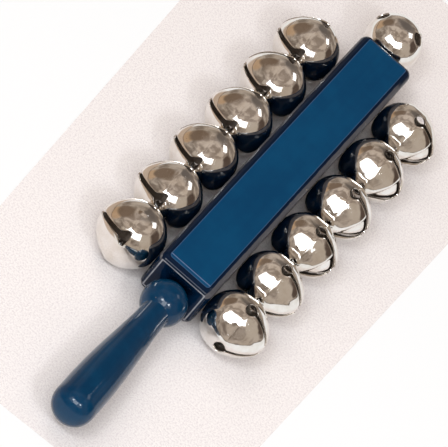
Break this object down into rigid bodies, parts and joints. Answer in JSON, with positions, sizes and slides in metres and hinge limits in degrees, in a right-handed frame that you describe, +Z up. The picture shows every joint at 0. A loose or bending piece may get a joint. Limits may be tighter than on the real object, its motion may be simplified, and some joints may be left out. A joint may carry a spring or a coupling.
{
  "type": "jingle stick",
  "caption": "Hand-held jingle stick: a blue painted wooden bar on a turned handle, with slotted round metal bells along both sides and one on the tip.",
  "frame": {"origin": "on the surface that the stick lies on, under the middle of its length, on the bar's centre plane", "axes": "+Y along the stick from the handle to the tip bell, +X to the right seen from the handle, +Z up from the surface it lies on"},
  "size_m": [0.0726, 0.2536, 0.027],
  "materials": {
    "bar_paint": "gloss blue paint on a planed wooden bar",
    "handle_paint": "gloss dark blue paint on a turned wooden handle",
    "nickel_plate": "bright nickel plate on pressed sheet steel",
    "nail_steel": "plain steel nail",
    "pellet_steel": "tumbled steel ball"
  },
  "bodies": {
    "stick": {"bar": "bar_paint", "handle": "handle_paint", "bell_left_1": "nickel_plate", "bell_right_1": "nickel_plate", "bell_left_2": "nickel_plate", "bell_right_2": "nickel_plate", "bell_left_3": "nickel_plate", "bell_right_3": "nickel_plate", "bell_left_4": "nickel_plate", "bell_right_4": "nickel_plate", "bell_left_5": "nickel_plate", "bell_right_5": "nickel_plate", "bell_left_6": "nickel_plate", "bell_right_6": "nickel_plate", "bell_tip": "nickel_plate", "nail_left_1": "nail_steel", "nail_right_1": "nail_steel", "nail_left_2": "nail_steel", "nail_right_2": "nail_steel", "nail_left_3": "nail_steel", "nail_right_3": "nail_steel", "nail_left_4": "nail_steel", "nail_right_4": "nail_steel", "nail_left_5": "nail_steel", "nail_right_5": "nail_steel", "nail_left_6": "nail_steel", "nail_right_6": "nail_steel", "nail_tip": "nail_steel"},
    "pellet_left_1": {"pellet_left_1": "pellet_steel"},
    "pellet_right_1": {"pellet_right_1": "pellet_steel"},
    "pellet_left_2": {"pellet_left_2": "pellet_steel"},
    "pellet_right_2": {"pellet_right_2": "pellet_steel"},
    "pellet_left_3": {"pellet_left_3": "pellet_steel"},
    "pellet_right_3": {"pellet_right_3": "pellet_steel"},
    "pellet_left_4": {"pellet_left_4": "pellet_steel"},
    "pellet_right_4": {"pellet_right_4": "pellet_steel"},
    "pellet_left_5": {"pellet_left_5": "pellet_steel"},
    "pellet_right_5": {"pellet_right_5": "pellet_steel"},
    "pellet_left_6": {"pellet_left_6": "pellet_steel"},
    "pellet_right_6": {"pellet_right_6": "pellet_steel"},
    "pellet_tip": {"pellet_tip": "pellet_steel"}
  },
  "joints": [
    {"name": "rattle_left_1", "type": "slide", "parent": "stick", "child": "pellet_left_1", "axis": [0, 0, 1], "range_m": [0, 0.0166]},
    {"name": "rattle_right_1", "type": "slide", "parent": "stick", "child": "pellet_right_1", "axis": [0, 0, 1], "range_m": [0, 0.0166]},
    {"name": "rattle_left_2", "type": "slide", "parent": "stick", "child": "pellet_left_2", "axis": [0, 0, 1], "range_m": [0, 0.0166]},
    {"name": "rattle_right_2", "type": "slide", "parent": "stick", "child": "pellet_right_2", "axis": [0, 0, 1], "range_m": [0, 0.0166]},
    {"name": "rattle_left_3", "type": "slide", "parent": "stick", "child": "pellet_left_3", "axis": [0, 0, 1], "range_m": [0, 0.0166]},
    {"name": "rattle_right_3", "type": "slide", "parent": "stick", "child": "pellet_right_3", "axis": [0, 0, 1], "range_m": [0, 0.0166]},
    {"name": "rattle_left_4", "type": "slide", "parent": "stick", "child": "pellet_left_4", "axis": [0, 0, 1], "range_m": [0, 0.0166]},
    {"name": "rattle_right_4", "type": "slide", "parent": "stick", "child": "pellet_right_4", "axis": [0, 0, 1], "range_m": [0, 0.0166]},
    {"name": "rattle_left_5", "type": "slide", "parent": "stick", "child": "pellet_left_5", "axis": [0, 0, 1], "range_m": [0, 0.0166]},
    {"name": "rattle_right_5", "type": "slide", "parent": "stick", "child": "pellet_right_5", "axis": [0, 0, 1], "range_m": [0, 0.0166]},
    {"name": "rattle_left_6", "type": "slide", "parent": "stick", "child": "pellet_left_6", "axis": [0, 0, 1], "range_m": [0, 0.0166]},
    {"name": "rattle_right_6", "type": "slide", "parent": "stick", "child": "pellet_right_6", "axis": [0, 0, 1], "range_m": [0, 0.0166]},
    {"name": "rattle_tip", "type": "slide", "parent": "stick", "child": "pellet_tip", "axis": [0, 0, 1], "range_m": [0, 0.0136]}
  ]
}
